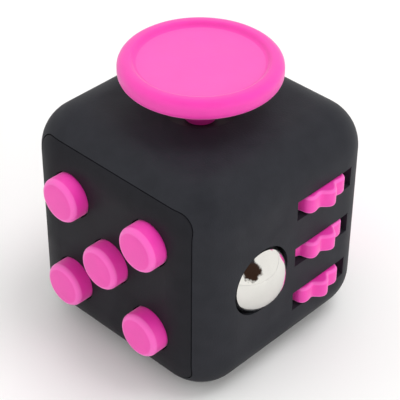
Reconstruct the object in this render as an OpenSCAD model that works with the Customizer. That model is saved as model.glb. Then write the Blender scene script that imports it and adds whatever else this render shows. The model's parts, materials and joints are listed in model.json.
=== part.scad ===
// Fidget cube: a rounded case with a toy on each of its six faces.
// Five click buttons face -Y, three cog wheels and a steel ball face +X, a thumb glide pad faces +Z,
// a spin dial faces +Y, a flip switch faces -X and a worry-stone dish is sunk in the base.
// Every module works from the middle of the case, and from_centre() stands the case on its base.

/* [Case] */
// Side of the cube
cube_size = 33; // [32:0.5:40]
// Radius of the case's outer edges
edge_radius = 6.4; // [5.4:0.1:6.6]
// Thickness of the case's walls and of its two covers
wall = 1.8; // [1.6:0.1:2.0]
// Radius of the case's inner edges
inner_edge_radius = 3.4; // [2.6:0.1:3.6]
// Width of the square covers that close the front and the back
cover_width = 27.2; // [26:0.1:28]
// Radius of the covers' corners
cover_corner = 2.4; // [1.6:0.1:3]
// Gap of the seam around each cover
seam_gap = 0.12; // [0.06:0.02:0.2]
// Width of the ledge behind each cover
cover_ledge = 1.0; // [0.6:0.1:1.4]
// Diameter of the posts that pin the covers to the case
cover_post_d = 2.2; // [1.8:0.1:2.6]
// Distance of the cover posts from the middle of the face, both ways
cover_post_offset = 11.3; // [11:0.1:11.6]
// Diameter of the dish in the base
dish_d = 18; // [14:0.5:20]
// Depth of the dish in the base
dish_depth = 1.6; // [0.8:0.1:2]

/* [Buttons] */
// Diameter of a button's cap
button_d = 6.2; // [5.2:0.1:7.4]
// Height of a button above the face
button_height = 2.4; // [1.8:0.1:3]
// Distance of the corner buttons from the middle of the face, both ways
button_pitch = 7.05; // [6.8:0.05:7.3]
// Rounding of a cap's front edge
button_round = 0.5; // [0.2:0.1:0.8]
// Thickness of the flange that keeps a button in
button_flange = 0.8; // [0.6:0.1:1]
// Travel of a button
button_travel = 0.8; // [0.5:0.1:0.8]
// Thickness of the tray that carries the click domes
tray_thickness = 1.0; // [0.8:0.1:1]

/* [Glide pad] */
// Diameter of the glide pad
pad_d = 21.2; // [18:0.2:22]
// Height of the pad's crest above the face
pad_height = 7.0; // [6:0.1:8.4]
// Thickness of the pad at its rim
pad_thickness = 2.7; // [2.2:0.1:3]
// Rounding of the pad's upper edge
pad_round = 1.1; // [0.8:0.1:1.2]
// Diameter of the dished middle of the pad
pad_dish_d = 17.2; // [14:0.2:17.4]
// Depth of the dished middle of the pad
pad_dish_depth = 0.6; // [0.3:0.1:1]
// Diameter of the pad's stem
stem_d = 4.2; // [3.8:0.1:4.6]
// Diameter of the round opening in the top of the case
top_opening_d = 10.8; // [10.6:0.1:11.4]
// Travel of the glide pad each way along each axis
glide_travel = 2.2; // [1.5:0.1:2.2]

/* [Cog wheels] */
// Diameter over the cogs of a wheel
wheel_d = 11.3; // [10.9:0.1:13.5]
// Depth of the valleys between the cogs
cog_depth = 0.65; // [0.4:0.05:0.8]
// Radius of one cog
cog_radius = 0.85; // [0.7:0.05:1]
// Number of cogs on a wheel
cog_count = 10; // [8:1:12]
// Thickness of a wheel
wheel_thickness = 2.6; // [2.2:0.1:2.7]
// Distance between the middles of neighbouring wheels
wheel_pitch = 7.55; // [7.2:0.05:7.6]
// Height of the wheels' cogs above the face
wheel_proud = 1.5; // [1.2:0.1:1.6]
// Distance of the wheels' axle from the middle of the face
wheel_offset = 5.95; // [5.9:0.05:6.4]
// Diameter of the wheels' axle
axle_d = 2.0; // [1.6:0.1:2.4]

/* [Steel ball] */
// Diameter of the steel ball
ball_d = 10.4; // [10:0.1:12.4]
// Height of the ball above the face
ball_proud = 2.4; // [2:0.1:2.4]
// Diameter of the ball's hole at the outer face
ball_hole_d = 9.6; // [9:0.1:9.7]
// Distance of the ball from the middle of the face
ball_offset = 5.75; // [5.6:0.05:5.8]
// Travel of the ball when it clicks
ball_travel = 0.8; // [0.4:0.1:0.8]

/* [Flip switch] */
// Diameter of the ball that the switch's rocker is cut from
rocker_d = 13.2; // [12.6:0.1:13.4]
// Depth of the rocker's hinge pin below the outer face
rocker_depth = 3.0; // [2.9:0.1:3.2]
// Height of the raised end above the outer face
rocker_proud = 2.4; // [2:0.1:2.4]
// Angle that the rocker leans each way
rocker_tilt = 12; // [8:1:13]
// Diameter of the rocker's hinge pin
rocker_pin_d = 1.6; // [1.2:0.1:1.8]

/* [Spin dial] */
// Diameter of the spin dial
dial_d = 19; // [16:0.5:20]
// Thickness of the spin dial
dial_thickness = 2.3; // [1.8:0.1:2.8]
// Diameter of the hub that turns in the rear cover
dial_hub_d = 5.9; // [5:0.1:6.5]
// Diameter of the ball that cuts the fingertip hollow
fingertip_d = 8; // [6:0.5:10]

/* [Fits] */
// Radial clearance around a pin or hub that turns
running_clearance = 0.05; // [0.02:0.01:0.08]
// Radial clearance around a sliding or free-standing piece
sliding_clearance = 0.2; // [0.15:0.05:0.25]
// Gap between faces that rub
face_gap = 0.1; // [0.05:0.01:0.1]
// Radial clearance around a fixed pin or screw
fixed_clearance = 0.02; // [0.01:0.01:0.04]

/* [Hidden] */
$fn = 48;
cut = 1;
hull_sides = 40;
prism_sides = 32;
arc_steps = 6;

half = cube_size / 2;
inside = half - wall;
recess_half = cover_width / 2;
opening_half = recess_half - cover_ledge;
// the corner bosses that take the cover posts
boss_wall = 0.9;
post_boss_r = cover_post_d / 2 + boss_wall;
post_boss_depth = 4.4;
post_length = 4;
boss_rib = 1.2;
boss_rib_inset = 0.8;
// the walls of the case reach this far inwards at each open end
end_rim = 0.7;
cavity_end = inside - end_rim;
// how far a boss or a foot runs into what it stands on
root_overlap = 0.15;
dish_rim = 0.6;
dish_floor = 0.2;

// screws: the small ones hold the tray, the frames and the plates
screw_r = 0.75;
screw_hole_gap = 0.1;
screw_hole_r = screw_r + screw_hole_gap;
screw_pilot_r = screw_r + fixed_clearance;
screw_head_r = 1.4;
screw_head_h = 1.0;
screw_boss_r = 1.7;
driver_slot = [1.7, 0.45, 0.9];

// the button stack, as distances from the middle of the case
flange_out = inside - face_gap / 2;
flange_in = flange_out - button_flange;
nub_length = 0.65;
nub_r = 1.2;
nub_end = flange_in - nub_length;
dome_slack = 0.1;
dome_height = button_travel + dome_slack;
dome_r = 2.9;
dome_sheet = 0.22;
silent_pad_rim = 0.3;
tray_out = nub_end - dome_height;
tray_in = tray_out - tray_thickness;
tray_margin = 0.35;
tray_half = button_pitch + dome_r + tray_margin;
flange_rim = 0.8;
flange_r = button_d / 2 + flange_rim;
tray_screw_tip = inside - 0.2;
// the cover posts stand clear of the corner buttons' flanges
post_place = max(cover_post_offset, button_pitch + (flange_r + post_boss_r + face_gap) / sqrt(2));
corners = [[-1, 1], [1, 1], [-1, -1], [1, -1]];
tray_posts = [[0, button_pitch], [0, -button_pitch], [-button_pitch, 0]];

// the glide stack, from the top down
plate_thickness = 1.1;
plate_top = inside - face_gap;
plate_low = plate_top - plate_thickness;
glide_reach = glide_travel * sqrt(2);
stem_r = stem_d / 2;
opening_r = max(top_opening_d / 2, stem_r + glide_reach + face_gap);
plate_overlap = 0.3;
plate_r = opening_r + glide_reach + plate_overlap;
key_width = 3;
key_height = 0.8;
slide_thickness = 1.5;
slide_top = plate_low - face_gap;
slide_low = slide_top - slide_thickness;
slide_half_x = 8.2;
slide_half_y = 5.6;
slide_key_half = 6;
groove_depth = key_height + face_gap;
retainer_thickness = 1.6;
retainer_top = slide_low - face_gap;
retainer_low = retainer_top - retainer_thickness;
// the bosses stand just outside the circle that the plate sweeps, towards the side walls
sweep_r = plate_r + glide_reach;
// the screw's hole ends this far below the pad
stem_cap = 1;
retainer_gap = 0.25;
retainer_ring_r = sweep_r + screw_boss_r + retainer_gap;
retainer_wall_gap = 3.3;
retainer_angle = 34;
retainer_boss_x = min(inside - retainer_wall_gap, retainer_ring_r * cos(retainer_angle));
retainer_boss_y = sqrt(pow(retainer_ring_r, 2) - pow(retainer_boss_x, 2));
pad_top = half + pad_height;
pad_low = pad_top - pad_thickness;

// the roll face: wheels, axle, ball and the frame that carries them
wheel_r = wheel_d / 2;
wheel_depth = half + wheel_proud - wheel_r;
wheel_rows = [wheel_pitch, 0, -wheel_pitch];
// how far each wheel has been turned by hand
wheel_turns = [1, 8, -2];
slot_height = wheel_thickness + 2 * sliding_clearance;
slot_end_gap = 0.16;
slot_half = sqrt(pow(wheel_r, 2) - pow(inside - wheel_depth, 2)) + slot_end_gap;
washer_thickness = 0.3;
arm_low = wheel_pitch + wheel_thickness / 2 + face_gap + washer_thickness;
arm_thickness = retainer_low - face_gap - arm_low;
arm_width = 3.6;
arm_end = 1.9;
// the room behind the wall for rings on the axle
ring_room = inside - face_gap - wheel_depth;
ball_r = ball_d / 2;
ball_depth = half + ball_proud - ball_r;
// the ball keeps clear of the button tray, and the wheels of the ball and its guide
ball_place = min(ball_offset, tray_in - ball_r - sliding_clearance);
ball_centre = [-ball_place, 0.1];
cup_r = 4.6;
cup_floor = 1.3;
cup_lift = 0.6;
guide_wall = 0.7;
guide_r = cup_r + face_gap + guide_wall;
ball_to_wheel = sqrt(pow(ball_r + wheel_r + sliding_clearance, 2) - pow(ball_depth - wheel_depth, 2));
wheel_place = max(wheel_offset, max(ball_to_wheel, guide_r + wheel_r + sliding_clearance) - ball_place);
// the back plate stands behind both the wheels and the ball's cup
wheel_room = 0.9;
frame_front = min(wheel_depth - wheel_r - wheel_room, ball_depth - ball_r - cup_floor - ball_travel - cup_lift);
frame_thickness = 1.2;
frame_back = frame_front - frame_thickness;
frame_post_z = 8.4;
frame_post_r = 1.6;
frame_screw_length = 6;
cup_rim = 3.1;
cup_front = ball_depth - cup_rim;
cup_back = frame_front + ball_travel + cup_lift;
cup_nub_length = 0.55;
// the guide stops short of the ball when it is pressed in
guide_front = ball_depth - ball_travel - sqrt(pow(ball_r, 2) - pow(cup_r, 2));
ball_dome_height = cup_back - cup_nub_length - frame_front - face_gap / 2;
ball_relief = 0.1;

// the flip switch: the rocker leans about a pin behind the left wall
rocker_r = rocker_d / 2;
pivot = half - rocker_depth;
rocker_end_angle = asin((rocker_depth + rocker_proud) / rocker_r) - rocker_tilt;
rocker_rise = 0.5;
rocker_middle = rocker_depth + rocker_rise;
rocker_back = 1.6;
tail_length = 2.6;
tail_r = 0.5;
tail_width = 3;
flip_post_z = max(frame_post_z, rocker_r + frame_post_r + sliding_clearance);
rocker_hole_r = rocker_r + face_gap;
ear_clearance = 0.3;
ear_gap = rocker_r + ear_clearance;
ear_thickness = 1.2;
ear_width = 3.8;
spring_room = 1.3;
flip_frame_front = pivot - tail_length - spring_room;
flip_frame_thickness = 1.0;
flip_screw_length = 5;
flip_frame_back = flip_frame_front - flip_frame_thickness;
spring_thickness = 0.25;
spring_front = pivot - tail_length * cos(rocker_tilt) - tail_r - face_gap;

// the spin dial: its hub turns in the rear cover
dial_gap = half + face_gap;
dial_hub_r = dial_hub_d / 2;
wave_room = 0.3;
hub_end = inside - wave_room;
wave_gap = 0.03;
wave_width = 1.8;
spin_washer_width = 2;
spin_washer_thickness = 0.7;
dial_round = 0.6;
// the screw's hole and tip end this far into the dial
spin_hole_depth = 0.8;
spin_screw_depth = 0.6;

module from_centre() {
    translate([0, 0, half]) children();
}

// these turn a face's own frame (across, up, outwards) onto the case
module on_front() {
    rotate([90, 0, 0]) children();
}

module on_back() {
    rotate([90, 0, 180]) children();
}

module on_right() {
    rotate([90, 0, 90]) children();
}

module on_left() {
    rotate([90, 0, -90]) children();
}

// points of an arc about (x, y), from angle a to angle b
function arc(x, y, r, a, b) =
    [for (i = [0:arc_steps]) let (t = a + (b - a) * i / arc_steps) [x + r * cos(t), y + r * sin(t)]];

// a ball of flat facets with a corner exactly at each pole and on each axis
module corner_ball(r) {
    steps = hull_sides / 2;
    rotate_extrude($fn = hull_sides)
        polygon([for (i = [0:steps]) let (t = -90 + 180 * i / steps) [r * cos(t), r * sin(t)]]);
}

// a box of half sizes h with every edge rounded to r, its flats exactly at h
module rounded_box(h, r) {
    hull() {
        for (x = [-1, 1], y = [-1, 1], z = [-1, 1])
            translate([x * (h[0] - r), y * (h[1] - r), z * (h[2] - r)]) corner_ball(r);
    }
}

// a square prism of half width w with rounded corners, from height a to height b
module rounded_prism(w, r, a, b) {
    hull() {
        for (x = [-1, 1], y = [-1, 1])
            translate([x * (w - r), y * (w - r), a]) cylinder(h = b - a, r = r, $fn = prism_sides);
    }
}

module between(a, b, r) {
    translate([0, 0, a]) cylinder(h = b - a, r = r);
}

// a screw along Z: its head lies on the plane at height seat, below it, and its shank runs up to tip
module screw(seat, tip) {
    difference() {
        between(seat - screw_head_h, seat, screw_head_r);
        for (turn = [0, 90])
            rotate(turn) translate([0, 0, seat - screw_head_h])
                cube(driver_slot, center = true);
    }
    between(seat - root_overlap, tip, screw_r);
}

// a thin snap dome along Z, standing on the plane at height base
module snap_dome(base, height, r) {
    ball = (r * r + height * height) / (2 * height);
    centre = base + height - ball;
    rotate_extrude()
        polygon(concat(
            arc(0, centre, ball, 90, asin((ball - height) / ball)),
            arc(0, centre, ball - dome_sheet, asin((ball - height) / (ball - dome_sheet)), 90)
        ));
}

// ---- case ----

module cover_post_boss(x, y) {
    rib_length = inside - post_place + root_overlap;
    rib_depth = post_boss_depth - boss_rib;
    rib_middle = inside - boss_rib_inset - post_boss_depth / 2;
    translate([x * post_place, y * post_place, 0]) {
        translate([0, 0, inside - face_gap - post_boss_depth]) cylinder(h = post_boss_depth, r = post_boss_r);
        // two ribs tie the boss to the walls
        translate([x * rib_length / 2, 0, rib_middle]) cube([rib_length, boss_rib, rib_depth], center = true);
        translate([0, y * rib_length / 2, rib_middle]) cube([boss_rib, rib_length, rib_depth], center = true);
    }
}

module cover_post_bore(x, y) {
    translate([x * post_place, y * post_place, inside - face_gap - post_boss_depth - cut])
        cylinder(h = post_boss_depth + 2 * cut, r = cover_post_d / 2 + fixed_clearance);
}

// the slots in the wall, and room for the wheels where they come near a rounded inner edge
module wheel_slots() {
    for (z = wheel_rows) {
        on_right() translate([wheel_place, z, inside + wall / 2])
            cube([2 * slot_half, slot_height, wall + 2 * cut], center = true);
        translate([wheel_depth, wheel_place, z])
            cylinder(h = wheel_thickness + 2 * face_gap, r = wheel_r + face_gap, center = true);
    }
}

module ball_mouth() {
    on_right() translate([ball_centre[0], ball_centre[1], 0]) {
        between(inside - cut, half + cut, ball_hole_d / 2);
        translate([0, 0, ball_depth]) sphere(r = ball_r + ball_relief);
    }
}

module base_dish() {
    dish_r = dish_d / 2;
    ball = (dish_r * dish_r + dish_depth * dish_depth) / (2 * dish_depth);
    translate([0, 0, dish_depth - half - ball]) sphere(r = ball, $fn = 96);
}

module body_sleeve() {
    color("#3a3a3e") from_centre() difference() {
        union() {
            difference() {
                rounded_box([half, half, half], edge_radius);
                rounded_box([inside, cavity_end, inside], inner_edge_radius);
                on_front() {
                    rounded_prism(opening_half, cover_corner, -half - cut, half + cut);
                    rounded_prism(recess_half, cover_corner, inside, half + cut);
                    rounded_prism(recess_half, cover_corner, -half - cut, -inside);
                }
            }
            for (c = corners) {
                on_front() cover_post_boss(c[0], c[1]);
                on_back() cover_post_boss(c[0], c[1]);
                // bosses for the retainer plate
                translate([c[0] * retainer_boss_x, c[1] * retainer_boss_y, 0])
                    between(retainer_top, inside + root_overlap, screw_boss_r);
            }
            for (side = [-1, 1]) {
                on_right() translate([-ball_place, side * frame_post_z, 0])
                    between(frame_front, inside + root_overlap, frame_post_r);
                on_left() translate([0, side * flip_post_z, 0])
                    between(flip_frame_front, inside + root_overlap, frame_post_r);
            }
            // the floor is thicker behind the dish
            translate([0, 0, -half + wall / 2])
                cylinder(h = wall / 2 + dish_depth - dish_floor, r = dish_d / 2 + dish_rim);
        }
        for (c = corners) {
            on_front() cover_post_bore(c[0], c[1]);
            on_back() cover_post_bore(c[0], c[1]);
            translate([c[0] * retainer_boss_x, c[1] * retainer_boss_y, 0])
                between(retainer_top - cut, inside + wall / 3, screw_pilot_r);
        }
        for (side = [-1, 1]) {
            on_right() translate([-ball_place, side * frame_post_z, 0])
                between(frame_front - cut, inside + wall / 3, screw_pilot_r);
            on_left() translate([0, side * flip_post_z, 0])
                between(flip_frame_front - cut, inside + wall / 3, screw_pilot_r);
        }
        between(inside - cut, half + cut, opening_r);
        wheel_slots();
        ball_mouth();
        on_left() between(inside - cut, half + cut, rocker_hole_r);
        base_dish();
    }
}

// the square plate of a cover, facing local +Z, with its four posts behind it
module cover_plate() {
    intersection() {
        rounded_box([half, half, half], edge_radius);
        rounded_prism(recess_half - seam_gap, cover_corner - seam_gap / 2, inside, half + cut);
    }
    for (c = corners)
        translate([c[0] * post_place, c[1] * post_place, 0])
            between(inside - post_length, inside + root_overlap, cover_post_d / 2);
}

module front_cover() {
    color("#3a3a3e") from_centre() on_front() difference() {
        union() {
            cover_plate();
            for (p = tray_posts)
                translate([p[0], p[1], 0]) between(tray_out, inside + root_overlap, screw_boss_r);
        }
        for (c = concat([[0, 0]], corners))
            translate([c[0] * button_pitch, c[1] * button_pitch, 0])
                between(inside - cut, half + cut, button_d / 2 + sliding_clearance);
        for (p = tray_posts)
            translate([p[0], p[1], 0]) between(tray_out - cut, inside + wall / 3, screw_pilot_r);
    }
}

module rear_cover() {
    color("#3a3a3e") from_centre() on_back() difference() {
        cover_plate();
        between(inside - cut, half + cut, dial_hub_r + running_clearance);
    }
}

// ---- click buttons ----

module click_button(x, y) {
    color("#e84aa8") from_centre() on_front() translate([x * button_pitch, y * button_pitch, 0])
        rotate_extrude()
            polygon(concat(
                [[0, nub_end], [nub_r, nub_end], [nub_r, flange_in], [flange_r, flange_in],
                 [flange_r, flange_out], [button_d / 2, flange_out]],
                arc(button_d / 2 - button_round, half + button_height - button_round, button_round, 0, 90),
                [[0, half + button_height]]
            ));
}

module click_dome(x, y) {
    color("silver") from_centre() on_front() translate([x * button_pitch, y * button_pitch, 0])
        snap_dome(tray_out, dome_height, dome_r);
}

module silent_pad(x, y) {
    color("whitesmoke") from_centre() on_front() translate([x * button_pitch, y * button_pitch, tray_out])
        cylinder(h = dome_height, r1 = dome_r, r2 = nub_r + silent_pad_rim);
}

module button_tray() {
    color("#222226") from_centre() on_front() difference() {
        translate([0, 0, (tray_out + tray_in) / 2])
            cube([2 * tray_half, 2 * tray_half, tray_thickness], center = true);
        // notches around the bosses of the cover posts
        for (c = corners)
            translate([c[0] * post_place, c[1] * post_place, 0])
                between(tray_in - cut, tray_out + cut, post_boss_r + sliding_clearance);
        for (p = tray_posts)
            translate([p[0], p[1], 0]) between(tray_in - cut, tray_out + cut, screw_hole_r);
    }
}

module tray_screws() {
    color("silver") from_centre() on_front()
        for (p = tray_posts)
            translate([p[0], p[1], 0]) screw(tray_in, tray_screw_tip);
}

// ---- glide pad ----

module glide_pad() {
    pad_r = pad_d / 2;
    dish_r = min(pad_dish_d / 2, pad_r - pad_round - 0.1);
    under_round = 0.5;
    dish_round = 0.4;
    color("#e84aa8") from_centre() difference() {
        rotate_extrude()
            polygon(concat(
                [[0, plate_top], [stem_r, plate_top], [stem_r, pad_low]],
                arc(pad_r - under_round, pad_low + under_round, under_round, -90, 0),
                arc(pad_r - pad_round, pad_top - pad_round, pad_round, 0, 90),
                [[dish_r, pad_top], [dish_r - dish_round, pad_top - pad_dish_depth], [0, pad_top - pad_dish_depth]]
            ));
        between(plate_top - cut, pad_low - stem_cap, screw_pilot_r);
    }
}

// the plate that hangs below the opening, with two keys that slide along the cross slide's groove
module glide_plate() {
    key_inner = 1.9;
    key_outer = 5.2;
    color("#222226") from_centre() difference() {
        union() {
            between(plate_low, plate_top, plate_r);
            for (side = [-1, 1])
                translate([0, side * (key_inner + key_outer) / 2, plate_low - key_height / 2 + root_overlap / 2])
                    cube([key_width, key_outer - key_inner, key_height + root_overlap], center = true);
        }
        between(plate_low - cut, plate_top + cut, screw_hole_r);
    }
}

module glide_screw() {
    head_h = key_height - face_gap;
    color("silver") from_centre() {
        between(plate_low - head_h, plate_low, screw_head_r);
        between(plate_low - root_overlap, pad_low - 2 * stem_cap, screw_r);
    }
}

// a soft ring that brings the plate back to the middle
module glide_ring() {
    ring_gap = 0.15;
    wall_gap = 0.3;
    color("#8a8a8a") from_centre() difference() {
        between(plate_low + ring_gap, plate_top - ring_gap, sweep_r - wall_gap);
        between(plate_low - cut, plate_top + cut, plate_r + face_gap);
    }
}

module cross_slide() {
    slot = key_width + 2 * face_gap;
    color("#222226") from_centre() difference() {
        union() {
            translate([0, 0, (slide_top + slide_low) / 2])
                cube([2 * slide_half_x, 2 * slide_half_y, slide_thickness], center = true);
            translate([0, 0, slide_low - key_height / 2 + root_overlap / 2])
                cube([2 * slide_key_half, key_width, key_height + root_overlap], center = true);
        }
        translate([0, 0, slide_top - groove_depth / 2 + cut / 2])
            cube([slot, 2 * slide_half_y + 2 * cut, groove_depth + cut], center = true);
    }
}

module retainer_plate() {
    slot = key_width + 2 * face_gap;
    end_gap = 0.3;
    slot_half_x = slide_key_half + glide_travel + end_gap;
    edge = 1.8;
    head_gap = 0.15;
    color("#222226") from_centre() difference() {
        translate([0, 0, (retainer_top + retainer_low) / 2])
            cube([2 * (retainer_boss_x + edge), 2 * (retainer_boss_y + edge), retainer_thickness], center = true);
        translate([0, 0, retainer_top - groove_depth / 2 + cut / 2])
            cube([2 * slot_half_x, slot, groove_depth + cut], center = true);
        for (c = corners)
            translate([c[0] * retainer_boss_x, c[1] * retainer_boss_y, 0]) {
                between(retainer_low - cut, retainer_top + cut, screw_hole_r);
                between(retainer_low - cut, retainer_low + screw_head_h, screw_head_r + head_gap);
            }
    }
}

module retainer_screws() {
    color("silver") from_centre()
        for (c = corners)
            translate([c[0] * retainer_boss_x, c[1] * retainer_boss_y, 0])
                screw(retainer_low + screw_head_h, inside + wall / 4);
}

// ---- roll face ----

module cog_wheel(row) {
    valley_r = wheel_r - cog_depth;
    color("#e84aa8") from_centre() translate([wheel_depth, wheel_place, wheel_rows[row]])
        rotate(wheel_turns[row]) difference() {
            union() {
                cylinder(h = wheel_thickness, r = valley_r, center = true);
                for (i = [0:cog_count - 1])
                    rotate(i * 360 / cog_count) translate([wheel_r - cog_radius, 0, 0])
                        cylinder(h = wheel_thickness, r = cog_radius, center = true);
            }
            cylinder(h = wheel_thickness + 2 * cut, r = axle_d / 2 + running_clearance, center = true);
        }
}

module wheel_axle() {
    color("silver") from_centre() translate([wheel_depth, wheel_place, 0])
        cylinder(h = 2 * (arm_low + arm_thickness - face_gap), r = axle_d / 2, center = true);
}

// a ring on the axle, from height a to height b
module axle_ring(a, b, r) {
    translate([wheel_depth, wheel_place, 0]) difference() {
        between(a, b, r);
        between(a - cut, b + cut, axle_d / 2 + fixed_clearance);
    }
}

module wheel_spacers() {
    gap = wheel_thickness / 2 + face_gap;
    ring_wall = 1;
    ring_r = min(axle_d / 2 + ring_wall, ring_room);
    color("#222226") from_centre() {
        axle_ring(gap, wheel_pitch - gap, ring_r);
        axle_ring(gap - wheel_pitch, -gap, ring_r);
    }
}

module axle_washers() {
    inner = wheel_pitch + wheel_thickness / 2 + face_gap;
    ring_wall = 1.2;
    ring_r = min(axle_d / 2 + ring_wall, ring_room);
    color("silver") from_centre() {
        axle_ring(inner, arm_low, ring_r);
        axle_ring(-arm_low, -inner, ring_r);
    }
}

// the chassis behind the right wall: a back plate, two arms for the axle and a guide for the ball's cup
module roll_frame() {
    plate_edge = 0.6;
    plate_y = [-ball_place - frame_post_r - plate_edge, wheel_place + arm_width / 2];
    arm_reach = min(wheel_depth + arm_end, inside - face_gap);
    height = arm_low + arm_thickness;
    color("#2b2b30") from_centre() difference() {
        union() {
            translate([frame_back, plate_y[0], -height])
                cube([frame_thickness, plate_y[1] - plate_y[0], 2 * height]);
            for (z = [-height, arm_low])
                translate([frame_back, wheel_place - arm_width / 2, z])
                    cube([arm_reach - frame_back, arm_width, arm_thickness]);
            on_right() translate([ball_centre[0], ball_centre[1], 0])
                between(frame_back + root_overlap, guide_front, guide_r);
        }
        on_right() translate([ball_centre[0], ball_centre[1], 0])
            between(frame_front, guide_front + cut, cup_r + face_gap);
        for (z = [-frame_post_z, frame_post_z])
            on_right() translate([-ball_place, z, 0]) between(frame_back - cut, frame_front + cut, screw_hole_r);
        translate([wheel_depth, wheel_place, 0])
            cylinder(h = 2 * height + 2 * cut, r = axle_d / 2 + fixed_clearance, center = true);
    }
}

module roll_frame_screws() {
    color("silver") from_centre() on_right()
        for (z = [-frame_post_z, frame_post_z])
            translate([-ball_place, z, 0]) screw(frame_back, frame_back + frame_screw_length);
}

module steel_ball() {
    color("gainsboro") from_centre() on_right() translate([ball_centre[0], ball_centre[1], ball_depth])
        sphere(r = ball_r, $fn = 96);
}

module ball_cup() {
    nub = 1;
    color("#222226") from_centre() on_right() translate([ball_centre[0], ball_centre[1], 0]) difference() {
        union() {
            between(cup_back, cup_front, cup_r);
            between(cup_back - cup_nub_length, cup_back + root_overlap, nub);
        }
        translate([0, 0, ball_depth]) sphere(r = ball_r + running_clearance, $fn = 96);
    }
}

module ball_click_dome() {
    color("silver") from_centre() on_right() translate([ball_centre[0], ball_centre[1], 0])
        snap_dome(frame_front, ball_dome_height, dome_r);
}

// ---- flip switch ----

// the rocker in its own frame: across, along, outwards from the hinge pin
module rocker_shape() {
    end = [rocker_r * cos(rocker_end_angle), rocker_r * sin(rocker_end_angle)];
    intersection() {
        sphere(r = rocker_r, $fn = 96);
        rotate([90, 0, 90]) linear_extrude(height = 2 * rocker_r, center = true)
            polygon([
                [-end[0] - 1, -rocker_back], [end[0] + 1, -rocker_back],
                [end[0] + 1, end[1] + (end[1] - rocker_middle) / end[0]], [0, rocker_middle],
                [-end[0] - 1, end[1] + (end[1] - rocker_middle) / end[0]]
            ]);
    }
    translate([0, 0, -(tail_length + rocker_back) / 2 + root_overlap / 2])
        cube([tail_width, 2 * tail_r, tail_length - rocker_back + root_overlap], center = true);
    translate([0, 0, -tail_length]) rotate([0, 90, 0]) cylinder(h = tail_width, r = tail_r, center = true);
}

module flip_rocker() {
    color("#e84aa8") from_centre() on_left() translate([0, 0, pivot]) rotate([rocker_tilt, 0, 0])
        difference() {
            rocker_shape();
            rotate([0, 90, 0])
                cylinder(h = 2 * rocker_r + 2 * cut, r = rocker_pin_d / 2 + running_clearance, center = true);
        }
}

module flip_pin() {
    color("silver") from_centre() on_left() translate([0, 0, pivot]) rotate([0, 90, 0])
        cylinder(h = 2 * (ear_gap + ear_thickness - face_gap), r = rocker_pin_d / 2, center = true);
}

module flip_frame() {
    bar_end = 0.1;
    bar_half = flip_post_z + frame_post_r + bar_end;
    cross_width = 5.2;
    ear_top = inside - face_gap / 2;
    color("#2b2b30") from_centre() on_left() difference() {
        union() {
            translate([0, 0, (flip_frame_front + flip_frame_back) / 2]) {
                cube([ear_width, 2 * bar_half, flip_frame_thickness], center = true);
                cube([2 * (ear_gap + ear_thickness), cross_width, flip_frame_thickness], center = true);
            }
            for (side = [-1, 1])
                translate([side * (ear_gap + ear_thickness / 2), 0, (flip_frame_back + ear_top) / 2])
                    cube([ear_thickness, ear_width, ear_top - flip_frame_back], center = true);
        }
        translate([0, 0, pivot]) rotate([0, 90, 0])
            cylinder(h = 4 * rocker_r, r = rocker_pin_d / 2 + fixed_clearance, center = true);
        for (z = [-flip_post_z, flip_post_z])
            translate([0, z, 0]) between(flip_frame_back - cut, flip_frame_front + cut, screw_hole_r);
    }
}

module flip_frame_screws() {
    color("silver") from_centre() on_left()
        for (z = [-flip_post_z, flip_post_z])
            translate([0, z, 0]) screw(flip_frame_back, flip_frame_back + flip_screw_length);
}

// a leaf that the rocker's tail snaps across
module detent_spring() {
    spring_half = 4.6;
    foot = 0.8;
    color("silver") from_centre() on_left() {
        translate([0, 0, spring_front - spring_thickness / 2])
            cube([tail_width, 2 * spring_half, spring_thickness], center = true);
        for (side = [-1, 1])
            translate([0, side * (spring_half - foot / 2), (spring_front + flip_frame_front) / 2])
                cube([tail_width, foot, spring_front - flip_frame_front], center = true);
    }
}

// ---- spin dial ----

module spin_dial() {
    dial_r = dial_d / 2;
    dial_top = dial_gap + dial_thickness;
    fingertip_depth = 1.3;
    fingertip_place = dial_r * 0.52;
    color("#e84aa8") from_centre() on_back() difference() {
        rotate_extrude()
            polygon(concat(
                [[0, hub_end], [dial_hub_r, hub_end], [dial_hub_r, dial_gap], [dial_r, dial_gap]],
                arc(dial_r - dial_round, dial_top - dial_round, dial_round, 0, 90),
                [[0, dial_top]]
            ));
        translate([0, fingertip_place, dial_top + fingertip_d / 2 - fingertip_depth]) sphere(d = fingertip_d);
        between(hub_end - cut, dial_gap + spin_hole_depth, screw_pilot_r);
    }
}

module wave_washer() {
    color("silver") from_centre() on_back() difference() {
        between(hub_end + wave_gap, inside - wave_gap, dial_hub_r + wave_width);
        between(hub_end - cut, inside + cut, dial_hub_r + sliding_clearance);
    }
}

module spin_washer() {
    color("silver") from_centre() on_back() difference() {
        between(hub_end - spin_washer_thickness, hub_end, dial_hub_r + spin_washer_width);
        between(hub_end - spin_washer_thickness - cut, hub_end + cut, screw_hole_r);
    }
}

module spin_screw() {
    color("silver") from_centre() on_back() screw(hub_end - spin_washer_thickness, dial_gap + spin_screw_depth);
}

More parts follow.
